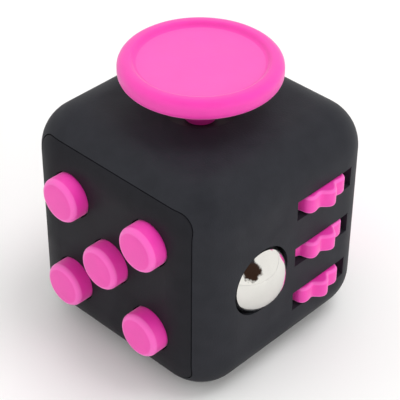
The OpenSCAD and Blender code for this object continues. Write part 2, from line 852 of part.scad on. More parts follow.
body_sleeve();
front_cover();
rear_cover();
click_button(-1, 1);  // button_upper_left
click_button(1, 1);  // button_upper_right
click_button(0, 0);  // button_middle
click_button(-1, -1);  // button_lower_left
click_button(1, -1);  // button_lower_right
click_dome(-1, 1);  // click_dome_upper_left
click_dome(0, 0);  // click_dome_middle
click_dome(1, -1);  // click_dome_lower_right
silent_pad(1, 1);  // silent_pad_upper_right
silent_pad(-1, -1);  // silent_pad_lower_left
button_tray();
tray_screws();
glide_pad();
glide_plate();
glide_screw();
glide_ring();
cross_slide();
retainer_plate();
retainer_screws();
roll_frame();
roll_frame_screws();
wheel_axle();
wheel_spacers();
axle_washers();
cog_wheel(0);  // upper_wheel
cog_wheel(1);  // middle_wheel
cog_wheel(2);  // lower_wheel
steel_ball();
ball_cup();
ball_click_dome();
flip_rocker();
flip_pin();
flip_frame();
flip_frame_screws();
detent_spring();
spin_dial();
wave_washer();
spin_washer();
spin_screw();
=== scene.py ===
"""Fidget cube: the visible pieces, their finishes and a small photo studio.

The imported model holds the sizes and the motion. Each operator below makes one piece, or one group
of like pieces, around it: the moulded case and its two covers, the click buttons, the glide pad,
the cog wheels, the steel ball, the flip rocker and the spin dial.
"""

import json
import math

import bmesh
import bpy
from mathutils import Matrix, Vector


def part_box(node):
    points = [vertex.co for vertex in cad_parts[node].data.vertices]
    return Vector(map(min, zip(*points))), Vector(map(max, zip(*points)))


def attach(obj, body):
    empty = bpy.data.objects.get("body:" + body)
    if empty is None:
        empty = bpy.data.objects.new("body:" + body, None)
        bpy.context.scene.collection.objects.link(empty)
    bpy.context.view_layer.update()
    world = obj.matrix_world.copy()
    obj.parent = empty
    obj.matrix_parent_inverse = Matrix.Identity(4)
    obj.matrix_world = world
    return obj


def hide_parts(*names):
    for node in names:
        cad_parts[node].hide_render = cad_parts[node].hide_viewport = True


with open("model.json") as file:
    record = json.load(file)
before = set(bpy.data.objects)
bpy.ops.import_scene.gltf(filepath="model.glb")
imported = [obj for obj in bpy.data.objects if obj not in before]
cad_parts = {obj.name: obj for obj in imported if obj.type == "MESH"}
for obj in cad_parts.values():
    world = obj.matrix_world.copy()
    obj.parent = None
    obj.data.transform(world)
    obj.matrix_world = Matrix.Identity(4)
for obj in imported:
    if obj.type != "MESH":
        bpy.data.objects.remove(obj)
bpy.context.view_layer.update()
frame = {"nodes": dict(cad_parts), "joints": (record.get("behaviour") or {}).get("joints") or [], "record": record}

bl_info = {
    "name": "Fidget cube",
    "version": (1, 0, 0),
    "blender": (4, 5, 0),
    "location": "View3D > Sidebar > Fidget cube",
    "description": "Makes the visible pieces and finishes of a pocket fidget cube",
    "category": "Object",
}

MM = 0.001
ROUND_STEPS = 96
ROUNDING_STEPS = 6
CUT_OVERLAP = 1 * MM  # how far a cutting shape reaches past the face that it cuts
NEAR = 0.001 * MM  # two heights or radii closer than this are the same
MERGE_DISTANCE = 0.002 * MM
RUNNING_GAP = 0.05 * MM  # between a moving piece and the cover beside it
SOFTENED_ANGLE = 14  # degrees: sharper edges than this get the soft rounding
FLOOR_GAP = 0.02 * MM  # keeps the floor's face off the base
FLOOR_DIMMING = 0.3  # how far the floor is darkened in reflections
RAGGEDNESS = 0.25  # how far noise pushes the edge of a dark opening
SPECKS_PER_NOISE_CELL = 0.8
GRAIN_DEPTH = 0.03 * MM
SCRATCH_DEPTH = 0.004 * MM
HIGHLIGHT_ATTRIBUTE = "painted_highlight"  # vertex attribute: where the surface is painted paler, a painted highlight on rounded edges and a painted sheen on the pad's dish
HIGHLIGHT_STRENGTH = 0.6  # how much of the painted highlight colour a fully marked place takes

# turns that carry a piece modelled upright about Z onto a face of the case
FRONT = Matrix.Rotation(math.radians(90), 4, "X")
BACK = Matrix.Rotation(math.radians(180), 4, "Z") @ FRONT
RIGHT = Matrix.Rotation(math.radians(90), 4, "Z") @ FRONT
LEFT = Matrix.Rotation(math.radians(-90), 4, "Z") @ FRONT

BUTTONS = ["upper_left", "upper_right", "middle", "lower_left", "lower_right"]
WHEELS = {"upper_wheel": "upper_cog", "middle_wheel": "middle_cog", "lower_wheel": "lower_cog"}


# ---- places and sizes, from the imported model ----

def middle(node):
    """The middle of a CAD node's box."""
    low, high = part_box(node)
    return (low + high) / 2


def extent(node):
    """The three side lengths of a CAD node's box."""
    low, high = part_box(node)
    return high - low


HALF = extent("body_sleeve").x / 2
CENTRE = Vector((0, 0, HALF))


def place(turn, across=0.0, up=0.0, out=0.0):
    """A matrix that carries a piece modelled about Z to a spot on a face of the case."""
    return Matrix.Translation(CENTRE) @ turn @ Matrix.Translation((across, up, out))


def joint_place(name):
    """Where a hinge's axis lies, in the row frame."""
    return Vector(next(j["pos_m"] for j in frame["joints"] if j["name"] == name))


# ---- the sizes and colours that a user would change ----

def length(name, description, millimetres):
    """A length setting."""
    return bpy.props.FloatProperty(
        name=name, description=description, default=millimetres * MM,
        min=0.0, precision=5, subtype="DISTANCE", unit="LENGTH")


def colour(name, description, rgb):
    """A colour setting, in linear light."""
    return bpy.props.FloatVectorProperty(
        name=name, description=description, default=rgb, size=3, min=0.0, max=1.0, subtype="COLOR")


class FidgetCaseSizes(bpy.types.PropertyGroup):
    """Sizes of the case and its covers."""

    edge_radius: length("Edge radius", "Radius of the outer edges", 6.4)
    inner_edge_radius: length("Inner edge radius", "Radius of the inner edges", 3.4)
    wall: length("Wall", "Thickness of the walls and covers", 1.8)
    end_wall: length("End wall", "Distance from each end face to the round of the cavity", 2.5)
    cover_width: length("Cover width", "Width of the square recess that a cover sits in", 27.2)
    cover_corner: length("Cover corner", "Radius of the covers' corners", 2.4)
    cover_ledge: length("Cover ledge", "Width of the ledge behind a cover", 1.0)
    seam_gap: length("Seam gap", "Gap around a cover", 0.12)
    edge_softness: length("Edge softness", "Rounding of cut edges", 0.14)
    top_opening: length("Top opening", "Diameter of the round opening under the pad", 10.8)
    slot_length: length("Slot length", "Length of a wheel's slot", 10.6)
    slot_height: length("Slot height", "Height of a wheel's slot", 3.0)
    ball_mouth: length("Ball mouth", "Diameter of the ball's hole at the face", 9.8)
    ball_relief: length("Ball relief", "Clearance of the seat around the ball", 0.25)
    rocker_gap: length("Rocker gap", "Clearance around the flip rocker", 0.1)
    dish_diameter: length("Dish diameter", "Diameter of the thumb dish in the base", 18.0)
    dish_depth: length("Dish depth", "Depth of the thumb dish in the base", 1.6)


class FidgetButtonSizes(bpy.types.PropertyGroup):
    """Sizes of the click buttons."""

    cap_diameter: length("Cap diameter", "Diameter of a button's cap", 6.2)
    cap_rounding: length("Cap rounding", "Rounding of a cap's front edge", 0.7)
    cap_crown: length("Cap crown", "How far the middle of a cap stands above its rim", 0.08)
    hole_gap: length("Hole gap", "Clearance around a cap", 0.2)
    flange: length("Flange", "Thickness of the flange behind the cover", 0.8)
    nub_diameter: length("Nub diameter", "Diameter of the nub that presses the dome", 2.4)


class FidgetPadSizes(bpy.types.PropertyGroup):
    """Sizes of the glide pad."""

    thickness: length("Thickness", "Thickness of the pad at its rim", 2.7)
    stem_diameter: length("Stem diameter", "Diameter of the stem", 4.2)
    dish_diameter: length("Dish diameter", "Diameter of the dished middle", 17.7)
    dish_depth: length("Dish depth", "Depth of the dished middle", 0.6)
    dish_slope: length("Dish slope", "Width of the slope around the dished middle", 0.45)
    rim_rounding: length("Rim rounding", "Rounding of the pad's upper edge", 1.1)
    under_rounding: length("Under rounding", "Rounding of the pad's lower edge", 0.95)
    lip_rounding: length("Lip rounding", "Rounding where the rim falls into the dish", 0.28)
    # painted sheen: how far the dished middle is painted paler, standing in for the sheen of light on its
    # up-facing surface
    painted_sheen: bpy.props.FloatProperty(
        name="Worn", description="How far the thumb has dulled the dished middle", default=0.5,
        min=0.0, max=1.0, subtype="FACTOR")


class FidgetWheelSizes(bpy.types.PropertyGroup):
    """Sizes of the cog wheels."""

    diameter: length("Diameter", "Diameter over the cogs", 11.3)
    cog_depth: length("Cog depth", "Depth of the valleys between cogs", 0.8)
    axle_hole: length("Axle hole", "Diameter of the hole for the axle", 2.1)
    rim_rounding: length("Rim rounding", "Rounding of a wheel's two rims", 0.42)
    cogs: bpy.props.IntProperty(name="Cogs", description="Number of cogs", default=10, min=6, max=16)


class FidgetSwitchSizes(bpy.types.PropertyGroup):
    """Sizes of the flip rocker and the spin dial."""

    rocker_middle: length("Rocker middle", "Height of the rocker's valley above its pin", 3.5)
    rocker_back: length("Rocker back", "Depth of the rocker's back below its pin", 1.6)
    rocker_rounding: length("Rocker rounding", "Rounding of the rocker's edges", 0.35)
    tail_length: length("Tail length", "Distance of the tail's end below the pin", 2.6)
    tail_diameter: length("Tail diameter", "Diameter of the tail's end", 1.0)
    tail_width: length("Tail width", "Width of the tail along the pin", 3.0)
    pin_hole: length("Pin hole", "Diameter of the hole for the hinge pin", 1.7)
    dial_rounding: length("Dial rounding", "Rounding of the dial's outer edge", 0.6)
    dial_hub: length("Dial hub", "Diameter of the hub in the rear cover", 5.9)
    fingertip_diameter: length("Fingertip diameter", "Diameter of the ball that cuts the hollow", 8.0)
    fingertip_depth: length("Fingertip depth", "Depth of the fingertip hollow", 1.3)
    rocker_lean: bpy.props.FloatProperty(
        name="Rocker lean", description="Angle that the rocker leans each way",
        default=math.radians(12), subtype="ANGLE", unit="ROTATION")


class FidgetFinishes(bpy.types.PropertyGroup):
    """Colours and grain of the finishes."""

    case: colour("Case", "Soft-touch shell", (0.0240, 0.0250, 0.0310))
    covers: colour("Covers", "Soft-touch covers, a shade darker than the shell", (0.0150, 0.0150, 0.0190))
    accent: colour("Accent", "Buttons, pad, wheels and switches", (0.90, 0.026, 0.43))
    # painted highlight: the paler pink painted on the accent pieces' rounded edges and on the pad's dish, standing
    # in for light catching them
    accent_highlight: colour("Accent edges", "Rubbed edges of the accent pieces", (0.98, 0.15, 0.60))
    inner: colour("Inner", "Hidden frames and slides", (0.012, 0.012, 0.013))
    silicone: colour("Silicone", "Soft rings and pads", (0.42, 0.42, 0.41))
    steel: colour("Steel", "Polished ball", (0.97, 0.955, 0.91))
    spring: colour("Spring steel", "Domes, springs and screws", (0.55, 0.54, 0.52))
    grain: length("Grain", "Width of one speck of the moulded grain", 0.2)


class FidgetStage(bpy.types.PropertyGroup):
    """Camera, lights and floor."""

    azimuth: bpy.props.FloatProperty(
        name="Azimuth", description="Camera's turn round the cube",
        default=math.radians(43.65), subtype="ANGLE", unit="ROTATION")
    elevation: bpy.props.FloatProperty(
        name="Elevation", description="Camera's height above the horizon",
        default=math.radians(37.49), subtype="ANGLE", unit="ROTATION")
    roll: bpy.props.FloatProperty(
        name="Roll", description="Camera's roll", default=math.radians(0.52),
        subtype="ANGLE", unit="ROTATION")
    distance: length("Distance", "Distance from the camera to its target", 196.4)
    target_right: length("Target right", "Target's place right of the case's middle", 0.06)
    target_up: length("Target up", "Target's place above the case's middle", 0.753)
    lens: bpy.props.FloatProperty(
        name="Lens", description="Focal length on a 36 mm sensor, in millimetres", default=131.0, min=1.0)
    floor: colour("Floor", "Plain pale floor", (0.96, 0.96, 0.96))
    floor_size: length("Floor size", "Side of the floor", 3000.0)


SETTINGS = {
    "fidget_case": FidgetCaseSizes,
    "fidget_buttons": FidgetButtonSizes,
    "fidget_pad": FidgetPadSizes,
    "fidget_wheels": FidgetWheelSizes,
    "fidget_switches": FidgetSwitchSizes,
    "fidget_finishes": FidgetFinishes,
    "fidget_stage": FidgetStage,
}


# ---- modelling helpers ----

def mesh_object(name, bm):
    """A linked object that holds a bmesh, at the origin. The bmesh is freed."""
    mesh = bpy.data.meshes.new(name)
    bm.to_mesh(mesh)
    bm.free()
    obj = bpy.data.objects.new(name, mesh)
    bpy.context.scene.collection.objects.link(obj)
    return obj


def discard(obj):
    """Removes a helper object and its mesh."""
    mesh = obj.data
    bpy.data.objects.remove(obj)
    bpy.data.meshes.remove(mesh)


def bevel_edges(bm, edges, width, segments):
    """Rounds edges of a bmesh, and marks the roundings for the painted highlight where the bmesh holds that
    attribute.
    """
    made = bmesh.ops.bevel(
        bm, geom=edges, offset=width, offset_type="OFFSET", segments=segments, profile=0.5,
        affect="EDGES", clamp_overlap=False, material=-1)
    # painted highlight: the new roundings are marked so that their colour is painted paler
    highlight_paint = bm.verts.layers.float.get(HIGHLIGHT_ATTRIBUTE)
    if highlight_paint:
        rounding = set(made["faces"])
        for vert in made["verts"]:
            if all(face in rounding for face in vert.link_faces):
                vert[highlight_paint] = 1.0


def box_solid(low, high, radius=0.0, segments=0):
    """A box between two corners, with every edge rounded where a radius is given."""
    bm = bmesh.new()
    low, high = Vector(low), Vector(high)
    bmesh.ops.create_cube(bm, size=1.0)
    bmesh.ops.scale(bm, vec=high - low, verts=bm.verts)
    bmesh.ops.translate(bm, vec=(low + high) / 2, verts=bm.verts)
    if radius:
        bevel_edges(bm, bm.edges[:], radius, segments)
    return bm


def prism_solid(half_width, corner, low, high, segments=8):
    """A square prism along Z with rounded upright edges."""
    bm = box_solid((-half_width, -half_width, low), (half_width, half_width, high))
    upright = [e for e in bm.edges if abs(e.verts[0].co.z - e.verts[1].co.z) > (high - low) / 2]
    bevel_edges(bm, upright, corner, segments)
    return bm


def rod_solid(radius, low, high, steps=ROUND_STEPS):
    """A cylinder along Z."""
    bm = bmesh.new()
    bmesh.ops.create_cone(
        bm, cap_ends=True, cap_tris=False, segments=steps, radius1=radius, radius2=radius, depth=high - low)
    bmesh.ops.translate(bm, vec=(0, 0, (low + high) / 2), verts=bm.verts)
    return bm


def ball_solid(radius, centre=(0, 0, 0), steps=ROUND_STEPS):
    """A sphere."""
    bm = bmesh.new()
    bmesh.ops.create_uvsphere(bm, u_segments=steps, v_segments=steps // 2, radius=radius)
    bmesh.ops.translate(bm, vec=centre, verts=bm.verts)
    return bm


def moved(bm, matrix):
    """The same bmesh, carried to its place."""
    bmesh.ops.transform(bm, matrix=matrix, verts=bm.verts)
    return bm


def turned(corners, steps=ROUND_STEPS, highlight_paint=False):
    """A solid turned about Z from (radius, height, rounding) corners, listed from axis to axis.

    With the flag set, its roundings are marked for the painted highlight.
    """
    bm = bmesh.new()
    if highlight_paint:
        bm.verts.layers.float.new(HIGHLIGHT_ATTRIBUTE)
    verts = [bm.verts.new((r, 0, z)) for r, z, _ in corners]
    edges = [bm.edges.new(pair) for pair in zip(verts, verts[1:])]
    bmesh.ops.spin(
        bm, geom=verts + edges, axis=(0, 0, 1), cent=(0, 0, 0), angle=2 * math.pi, steps=steps,
        use_merge=True)
    bmesh.ops.remove_doubles(bm, verts=bm.verts, dist=NEAR / 10)
    bmesh.ops.recalc_face_normals(bm, faces=bm.faces)
    for r, z, rounding in corners:
        if rounding:
            ring = [
                e for e in bm.edges
                if all(abs(v.co.z - z) < NEAR and abs(v.co.xy.length - r) < NEAR for v in e.verts)]
            bevel_edges(bm, ring, rounding, ROUNDING_STEPS)
    return bm


def combined(bm, changes):
    """A bmesh after booleans: changes is a list of (operation, bmesh), and every bmesh in it is freed."""
    base = mesh_object("base", bm)
    for operation, tool_bm in changes:
        tool = mesh_object("tool", tool_bm)
        modifier = base.modifiers.new("cut", "BOOLEAN")
        modifier.operation = operation
        modifier.solver = "EXACT"
        modifier.object = tool
        graph = bpy.context.evaluated_depsgraph_get()
        mesh = bpy.data.meshes.new_from_object(base.evaluated_get(graph))
        base.modifiers.clear()
        old = base.data
        base.data = mesh
        bpy.data.meshes.remove(old)
        discard(tool)
    result = bmesh.new()
    result.from_mesh(base.data)
    discard(base)
    bmesh.ops.remove_doubles(result, verts=result.verts, dist=MERGE_DISTANCE)
    bmesh.ops.dissolve_degenerate(result, dist=MERGE_DISTANCE, edges=result.edges)
    return result


def finish_piece(name, bm, body, nodes, material, softness=0.0, sharp=30.0):
    """Makes a piece from a bmesh: soft edges, smooth shading, finish, body and the nodes it stands for."""
    obj = mesh_object(name, bm)
    obj.data.shade_smooth()
    if softness:
        soften = obj.modifiers.new("soft edges", "BEVEL")
        soften.width = softness
        soften.segments = 3
        soften.limit_method = "ANGLE"
        soften.angle_limit = math.radians(SOFTENED_ANGLE)
        soften.use_clamp_overlap = True
        soften.harden_normals = True
    else:
        obj.data.set_sharp_from_angle(angle=math.radians(sharp))
    obj.data.materials.append(material)
    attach(obj, body)
    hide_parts(*nodes)


# ---- materials ----

def group_nodes(name, inputs, outputs):
    """A new, empty shader node group with float or vector sockets."""
    group = bpy.data.node_groups.new(name, "ShaderNodeTree")
    for socket, kind, default in inputs:
        made = group.interface.new_socket(name=socket, in_out="INPUT", socket_type=kind)
        if default is not None:
            made.default_value = default
    for socket, kind in outputs:
        group.interface.new_socket(name=socket, in_out="OUTPUT", socket_type=kind)
    return group, group.nodes.new("NodeGroupInput"), group.nodes.new("NodeGroupOutput")


def noise(tree, vector, scale=None, detail=2.0, roughness=0.5):
    """A noise texture that reads a vector socket. With no scale given, its scale is linked later."""
    node = tree.nodes.new("ShaderNodeTexNoise")
    if scale is not None:
        node.inputs["Scale"].default_value = scale
    node.inputs["Detail"].default_value = detail
    node.inputs["Roughness"].default_value = roughness
    tree.links.new(vector, node.inputs["Vector"])
    return node


def ramp(tree, value, low, high, to_low=0.0, to_high=1.0):
    """A value mapped from one range to another, and held inside it."""
    node = tree.nodes.new("ShaderNodeMapRange")
    node.inputs["From Min"].default_value = low
    node.inputs["From Max"].default_value = high
    node.inputs["To Min"].default_value = to_low
    node.inputs["To Max"].default_value = to_high
    tree.links.new(value, node.inputs["Value"])
    return node.outputs["Result"]


def moulded_grain_group():
    """Fine spark-eroded grain, broad mottling and faint handling smudges of moulded plastic."""
    name = "Moulded grain"
    if name in bpy.data.node_groups:
        return bpy.data.node_groups[name]
    group, source, result = group_nodes(
        name,
        [("Vector", "NodeSocketVector", None), ("Grain Scale", "NodeSocketFloat", 9000.0)],
        [("Height", "NodeSocketFloat"), ("Mottle", "NodeSocketFloat"), ("Smudge", "NodeSocketFloat")])
    vector = source.outputs["Vector"]
    grain = noise(group, vector, detail=3.0, roughness=0.6)
    group.links.new(source.outputs["Grain Scale"], grain.inputs["Scale"])
    mottle = noise(group, vector, 420.0, detail=4.0)
    smudge = noise(group, vector, 95.0)
    smudge.inputs["Distortion"].default_value = 1.2
    group.links.new(grain.outputs["Fac"], result.inputs["Height"])
    group.links.new(ramp(group, mottle.outputs["Fac"], 0.35, 0.65), result.inputs["Mottle"])
    group.links.new(ramp(group, smudge.outputs["Fac"], 0.42, 0.7), result.inputs["Smudge"])
    return group


def fine_scratches_group():
    """Hair-fine marks in polished or rolled metal."""
    name = "Fine scratches"
    if name in bpy.data.node_groups:
        return bpy.data.node_groups[name]
    group, source, result = group_nodes(
        name,
        [("Vector", "NodeSocketVector", None), ("Scratch Scale", "NodeSocketFloat", 700.0)],
        [("Height", "NodeSocketFloat"), ("Haze", "NodeSocketFloat")])
    stretch = group.nodes.new("ShaderNodeMapping")
    stretch.inputs["Rotation"].default_value = (0.4, 0.9, 0.2)
    stretch.inputs["Scale"].default_value = (1.0, 14.0, 1.0)
    group.links.new(source.outputs["Vector"], stretch.inputs["Vector"])
    marks = noise(group, stretch.outputs["Vector"], detail=6.0, roughness=0.7)
    group.links.new(source.outputs["Scratch Scale"], marks.inputs["Scale"])
    haze = noise(group, source.outputs["Vector"], 260.0, detail=3.0)
    group.links.new(marks.outputs["Fac"], result.inputs["Height"])
    group.links.new(ramp(group, haze.outputs["Fac"], 0.4, 0.7), result.inputs["Haze"])
    return group


def new_material(name):
    """A node material: the material, its node tree, its Principled shader and its object coordinates."""
    material = bpy.data.materials.new(name)
    material.use_nodes = True
    tree = material.node_tree
    shader = tree.nodes["Principled BSDF"]
    coordinates = tree.nodes.new("ShaderNodeTexCoord").outputs["Object"]
    return material, tree, shader, coordinates


def placed_group(tree, group, vector, values):
    """A node group placed in a material with its own values."""
    node = tree.nodes.new("ShaderNodeGroup")
    node.node_tree = group
    tree.links.new(vector, node.inputs["Vector"])
    for socket, value in values.items():
        node.inputs[socket].default_value = value
    return node


def mixed_colour(tree, factor, first, second, shader):
    """Two colours mixed by a mask into the shader's colour, its first input. The first may be a socket."""
    mix = tree.nodes.new("ShaderNodeMix")
    mix.data_type = "RGBA"
    if isinstance(first, bpy.types.NodeSocket):
        tree.links.new(first, mix.inputs["A"])
    else:
        mix.inputs["A"].default_value = (*first, 1)
    mix.inputs["B"].default_value = (*second, 1)
    tree.links.new(factor, mix.inputs["Factor"])
    tree.links.new(mix.outputs["Result"], shader.inputs[0])
    return mix.outputs["Result"]


def bumped(tree, height, shader, strength, depth):
    """A bump from a height into the shader's normal."""
    bump = tree.nodes.new("ShaderNodeBump")
    bump.inputs["Strength"].default_value = strength
    bump.inputs["Distance"].default_value = depth
    tree.links.new(height, bump.inputs["Height"])
    tree.links.new(bump.outputs["Normal"], shader.inputs["Normal"])


def moulded_plastic(name, tint, spread, roughness, grain_strength, sheen=0.0, gloss=0.5, painted_sheen=None):
    """Moulded plastic or rubbery silicone: grain, mottled colour and slightly uneven gloss.

    The last argument is the colour that marked places are painted towards: a painted highlight on rounded edges
    and a painted sheen on the pad's dish.
    """
    if name in bpy.data.materials:
        return bpy.data.materials[name]
    material, tree, shader, vector = new_material(name)
    grain = placed_group(
        tree, moulded_grain_group(), vector,
        {"Grain Scale": SPECKS_PER_NOISE_CELL / bpy.context.scene.fidget_finishes.grain})
    dark = [c * (1 - spread) for c in tint]
    light = [min(c * (1 + spread), 1) for c in tint]
    mottled = mixed_colour(tree, grain.outputs["Mottle"], dark, light, shader)
    # painted highlight: places marked in the vertex attribute are painted paler, standing in for light on rounded
    # edges and on the pad's dish
    if painted_sheen:
        edge = tree.nodes.new("ShaderNodeAttribute")
        edge.attribute_name = HIGHLIGHT_ATTRIBUTE
        highlight_mix = ramp(tree, edge.outputs["Fac"], 0, 1, 0, HIGHLIGHT_STRENGTH)
        mixed_colour(tree, highlight_mix, mottled, painted_sheen, shader)
    tree.links.new(
        ramp(tree, grain.outputs["Smudge"], 0, 1, roughness[0], roughness[1]), shader.inputs["Roughness"])
    bumped(tree, grain.outputs["Height"], shader, grain_strength, GRAIN_DEPTH)
    shader.inputs["Specular IOR Level"].default_value = gloss
    if sheen:
        shader.inputs["Sheen Weight"].default_value = sheen
        shader.inputs["Sheen Roughness"].default_value = 0.45
        shader.inputs["Sheen Tint"].default_value = (1, 0.9, 0.96, 1)
    return material


def worked_metal(name, tint, roughness, scratch_strength, scratch_scale):
    """Polished or rolled steel with hair-fine marks."""
    if name in bpy.data.materials:
        return bpy.data.materials[name]
    material, tree, shader, vector = new_material(name)
    marks = placed_group(tree, fine_scratches_group(), vector, {"Scratch Scale": scratch_scale})
    mixed_colour(tree, marks.outputs["Haze"], tint, [c * 0.93 for c in tint], shader)
    tree.links.new(
        ramp(tree, marks.outputs["Haze"], 0, 1, roughness[0], roughness[1]), shader.inputs["Roughness"])
    bumped(tree, marks.outputs["Height"], shader, scratch_strength, SCRATCH_DEPTH)
    shader.inputs["Metallic"].default_value = 1.0
    return material


def finish_for(slot):
    """The material of one of the record's slots, or of the covers, which share the case's slot."""
    finishes = bpy.context.scene.fidget_finishes
    if slot == "case_plastic":
        return moulded_plastic(
            "Soft-touch shell", finishes.case, spread=0.07, roughness=(0.46, 0.58), grain_strength=0.9,
            gloss=0.12)
    if slot == "cover":
        return moulded_plastic(
            "Soft-touch cover", finishes.covers, spread=0.07, roughness=(0.46, 0.58), grain_strength=0.9,
            gloss=0.12)
    if slot == "accent_plastic":
        return moulded_plastic(
            "Rubbery accent", finishes.accent, spread=0.02, roughness=(0.43, 0.50), grain_strength=0.4,
            # the marked edges and dish are painted towards the painted highlight colour
            sheen=0.32, gloss=0.75, painted_sheen=finishes.accent_highlight)
    if slot == "inner_plastic":
        return moulded_plastic(
            "Inner frames", finishes.inner, spread=0.1, roughness=(0.45, 0.6), grain_strength=0.2)
    if slot == "silicone":
        return moulded_plastic(
            "Silicone", finishes.silicone, spread=0.05, roughness=(0.5, 0.65), grain_strength=0.1,
            sheen=0.2)
    if slot == "ball_steel":
        return worked_metal(
            "Polished steel", finishes.steel, roughness=(0.04, 0.09), scratch_strength=0.05,
            scratch_scale=500.0)
    return worked_metal(
        "Rolled steel", finishes.spring, roughness=(0.28, 0.42), scratch_strength=0.25,
        scratch_scale=900.0)


# ---- the case ----

def rounded_case():
    """The outer form that the case and both covers are cut from, about the middle of the case."""
    sizes = bpy.context.scene.fidget_case
    return box_solid((-HALF, -HALF, -HALF), (HALF, HALF, HALF), sizes.edge_radius, segments=14)


class FIDGET_OT_body_sleeve(bpy.types.Operator):
    """Makes the case: four walls with the slots, the ball's mouth, the openings and the thumb dish"""

    bl_idname = "fidget.body_sleeve"
    bl_label = "Body sleeve"

    dish_pad_rim = 0.6 * MM  # how far the pad over the dish reaches past it
    dish_pad_thickness = 1.6 * MM  # what is left over the dish's deepest point

    def execute(self, context):
        sizes = context.scene.fidget_case
        inside = HALF - sizes.wall
        end = HALF - sizes.end_wall
        recess = sizes.cover_width / 2
        ball = middle("steel_ball") - CENTRE
        rocker_radius = extent("flip_rocker").y / 2 + sizes.rocker_gap
        cuts = [
            box_solid(
                (-inside, -end, -inside), (inside, end, inside), sizes.inner_edge_radius, segments=8),
            moved(prism_solid(recess - sizes.cover_ledge, sizes.cover_corner, -2 * HALF, 2 * HALF), FRONT),
            moved(prism_solid(recess, sizes.cover_corner, inside, 2 * HALF), FRONT),
            moved(prism_solid(recess, sizes.cover_corner, inside, 2 * HALF), BACK),
            rod_solid(sizes.top_opening / 2, inside - CUT_OVERLAP, HALF + CUT_OVERLAP),
            moved(rod_solid(rocker_radius, inside - CUT_OVERLAP, HALF + CUT_OVERLAP), LEFT),
            moved(
                rod_solid(sizes.ball_mouth / 2, inside - CUT_OVERLAP, HALF + CUT_OVERLAP),
                RIGHT @ Matrix.Translation((ball.y, ball.z, 0))),
            ball_solid(extent("steel_ball").x / 2 + sizes.ball_relief, ball),
        ]
        for wheel in WHEELS:
            spot = middle(wheel) - CENTRE
            low = (inside - CUT_OVERLAP, spot.y - sizes.slot_length / 2, spot.z - sizes.slot_height / 2)
            high = (HALF + CUT_OVERLAP, spot.y + sizes.slot_length / 2, spot.z + sizes.slot_height / 2)
            cuts.append(box_solid(low, high))
        dish = sizes.dish_diameter / 2
        dish_ball = (dish ** 2 + sizes.dish_depth ** 2) / (2 * sizes.dish_depth)
        # the dish is nearly as deep as the wall is thick, so a pad is added over it inside
        dish_pad = rod_solid(
            dish + self.dish_pad_rim, sizes.wall / 2 - HALF,
            sizes.dish_depth + self.dish_pad_thickness - HALF)
        hollow = ball_solid(dish_ball, (0, 0, sizes.dish_depth - HALF - dish_ball), steps=256)
        changes = [("DIFFERENCE", cut) for cut in cuts]
        changes += [("UNION", dish_pad), ("DIFFERENCE", hollow)]
        bm = moved(combined(rounded_case(), changes), Matrix.Translation(CENTRE))
        finish_piece(
            "body_sleeve_shell", bm, "case", ["body_sleeve"], finish_for("case_plastic"),
            softness=sizes.edge_softness)
        return {"FINISHED"}


def cover_panel(turn, holes):
    """A cover cut from the case's outer form, with round holes given as (radius, across, up)."""
    sizes = bpy.context.scene.fidget_case
    inside = HALF - sizes.wall
    panel = prism_solid(
        sizes.cover_width / 2 - sizes.seam_gap, sizes.cover_corner - sizes.seam_gap / 2, inside, 2 * HALF)
    changes = [("INTERSECT", moved(panel, turn))]
    for radius, across, up in holes:
        hole = rod_solid(radius, inside - CUT_OVERLAP, HALF + CUT_OVERLAP)
        changes.append(("DIFFERENCE", moved(hole, turn @ Matrix.Translation((across, up, 0)))))
    return moved(combined(rounded_case(), changes), Matrix.Translation(CENTRE))


class FIDGET_OT_covers(bpy.types.Operator):
    """Makes the front cover with its five button holes and the rear cover with the dial's bore"""

    bl_idname = "fidget.covers"
    bl_label = "Front and rear covers"

    def execute(self, context):
        sizes = context.scene.fidget_case
        buttons = context.scene.fidget_buttons
        radius = buttons.cap_diameter / 2 + buttons.hole_gap
        spots = [middle(f"button_{name}") - CENTRE for name in BUTTONS]
        front = cover_panel(FRONT, [(radius, spot.x, spot.z) for spot in spots])
        rear = cover_panel(BACK, [(context.scene.fidget_switches.dial_hub / 2 + RUNNING_GAP, 0, 0)])
        material = finish_for("cover")
        for name, bm in (("front_cover", front), ("rear_cover", rear)):
            finish_piece(
                f"{name}_panel", bm, "case", [name], material, softness=sizes.edge_softness)
        return {"FINISHED"}


# ---- the toys ----

class FIDGET_OT_click_buttons(bpy.types.Operator):
    """Makes the five click buttons: a soft crowned cap, a flange behind the cover and a nub"""

    bl_idname = "fidget.click_buttons"
    bl_label = "Click buttons"

    nub_rounding = 0.15 * MM
    flange_rounding = 0.1 * MM
    crown_reach = 0.55  # the crown is nearly flat out to this share of the cap's radius,
    crown_fall = 0.25  # where it has fallen by this share of its height

    def execute(self, context):
        sizes = context.scene.fidget_buttons
        cap = sizes.cap_diameter / 2
        flange = extent("button_middle").x / 2
        low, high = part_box("button_middle")
        front, back = -low.y, -high.y
        flange_out = HALF - context.scene.fidget_case.wall - RUNNING_GAP
        flange_in = flange_out - sizes.flange
        nub = sizes.nub_diameter / 2
        material = finish_for("accent_plastic")
        for name in BUTTONS:
            spot = middle(f"button_{name}") - CENTRE
            # the cap's roundings are marked for the painted highlight along its edges
            bm = turned([
                (0, back, 0), (nub, back, self.nub_rounding), (nub, flange_in, 0),
                (flange, flange_in, self.flange_rounding), (flange, flange_out, self.flange_rounding),
                (cap, flange_out, 0), (cap, front - sizes.cap_crown, sizes.cap_rounding),
                (cap * self.crown_reach, front - sizes.cap_crown * self.crown_fall, 0),
                (0, front, 0)], highlight_paint=True)
            finish_piece(
                f"button_cap_{name}", moved(bm, place(FRONT, spot.x, spot.z)), f"{name}_button",
                [f"button_{name}"], material, sharp=40)
        return {"FINISHED"}


